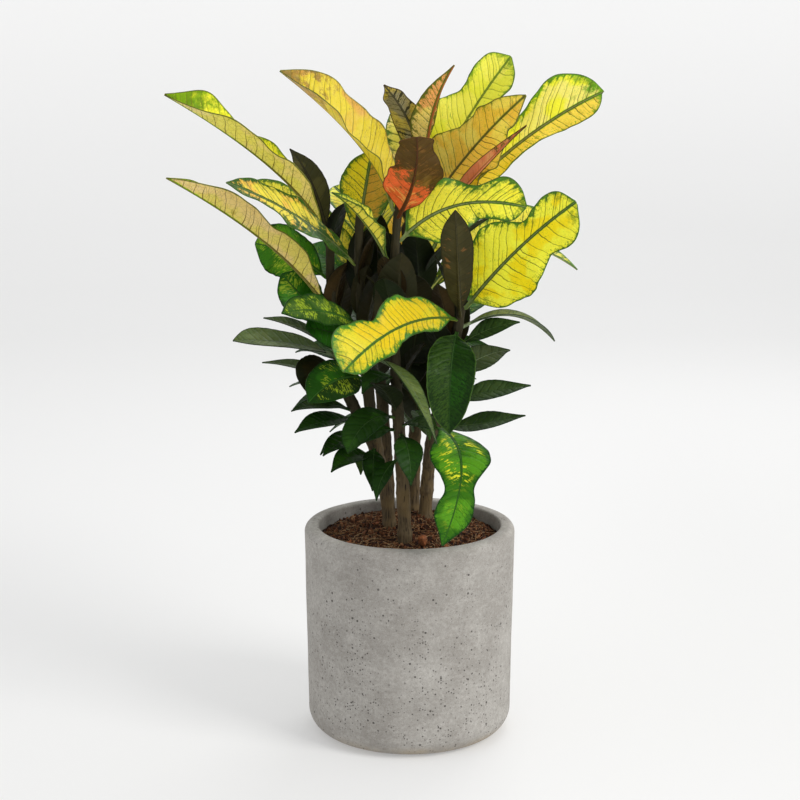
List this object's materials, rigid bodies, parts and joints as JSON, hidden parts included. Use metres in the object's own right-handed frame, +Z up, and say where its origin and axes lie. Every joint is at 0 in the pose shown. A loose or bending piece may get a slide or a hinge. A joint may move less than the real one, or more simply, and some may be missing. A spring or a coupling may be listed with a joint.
{
  "type": "potted croton",
  "caption": "Bushy croton with broad waved gold, lime, rust and green leaves on woody stems, planted in coir soil in a plain round concrete pot.",
  "frame": {"origin": "centre of the pot's flat foot", "axes": "+Z up along the pot, -Y towards the front of the plant, +X to the right seen from the front"},
  "size_m": [0.4317, 0.4107, 0.7039],
  "materials": {
    "concrete": "matte",
    "soil": "matte",
    "bark": "matte",
    "leaf_gold": "satin",
    "leaf_straw": "satin",
    "leaf_amber": "satin",
    "leaf_lime": "satin",
    "leaf_rust": "satin",
    "leaf_dark": "satin",
    "leaf_spotted": "satin",
    "leaf_green": "satin",
    "leaf_sage": "satin"
  },
  "bodies": {
    "root": {"pot": "concrete", "soil": "soil", "trunk_left": "bark", "stem_front": "bark", "stem_centre": "bark", "stem_right": "bark", "stem_back": "bark", "leaf_far_left_upper": "leaf_straw", "leaf_far_left_lower": "leaf_straw", "leaf_mid_left": "leaf_lime", "leaf_upper_left": "leaf_gold", "leaf_left_shadow": "leaf_dark", "leaf_sliver_front": "leaf_lime", "leaf_upright_left": "leaf_lime", "leaf_grey_small": "leaf_rust", "leaf_pink_back": "leaf_straw", "leaf_pale_back": "leaf_lime", "leaf_top_gold": "leaf_gold", "leaf_amber": "leaf_amber", "leaf_pink_small": "leaf_rust", "leaf_right_top": "leaf_gold", "leaf_rust": "leaf_rust", "leaf_right_mid": "leaf_gold", "leaf_dark_upright": "leaf_dark", "leaf_hero": "leaf_gold", "leaf_front_gold": "leaf_gold", "leaf_left_green_high": "leaf_spotted", "leaf_left_green_low": "leaf_spotted", "leaf_left_spotted": "leaf_spotted", "leaf_left_long_grey": "leaf_sage", "leaf_left_under": "leaf_green", "leaf_left_dark_hang": "leaf_dark", "leaf_left_low": "leaf_spotted", "leaf_low_left_b": "leaf_green", "leaf_low_left_c": "leaf_green", "leaf_low_left_d": "leaf_green", "leaf_low_front_left": "leaf_green", "leaf_low_front": "leaf_green", "leaf_low_arch": "leaf_sage", "leaf_big_green": "leaf_green", "leaf_right_green_up": "leaf_green", "leaf_right_curve": "leaf_sage", "leaf_right_behind": "leaf_lime", "leaf_right_grey": "leaf_sage", "leaf_right_low_a": "leaf_green", "leaf_right_low_b": "leaf_green", "leaf_low_spoon": "leaf_spotted", "leaf_back_gold_a": "leaf_gold", "leaf_back_gold_b": "leaf_gold", "leaf_back_gold_c": "leaf_gold", "leaf_back_lime_a": "leaf_lime", "leaf_back_lime_b": "leaf_lime", "leaf_back_amber": "leaf_amber", "leaf_back_green_a": "leaf_spotted", "leaf_back_green_b": "leaf_green", "leaf_back_green_c": "leaf_spotted", "leaf_back_low_a": "leaf_green", "leaf_back_low_b": "leaf_green", "leaf_back_low_c": "leaf_green"}
  },
  "joints": []
}
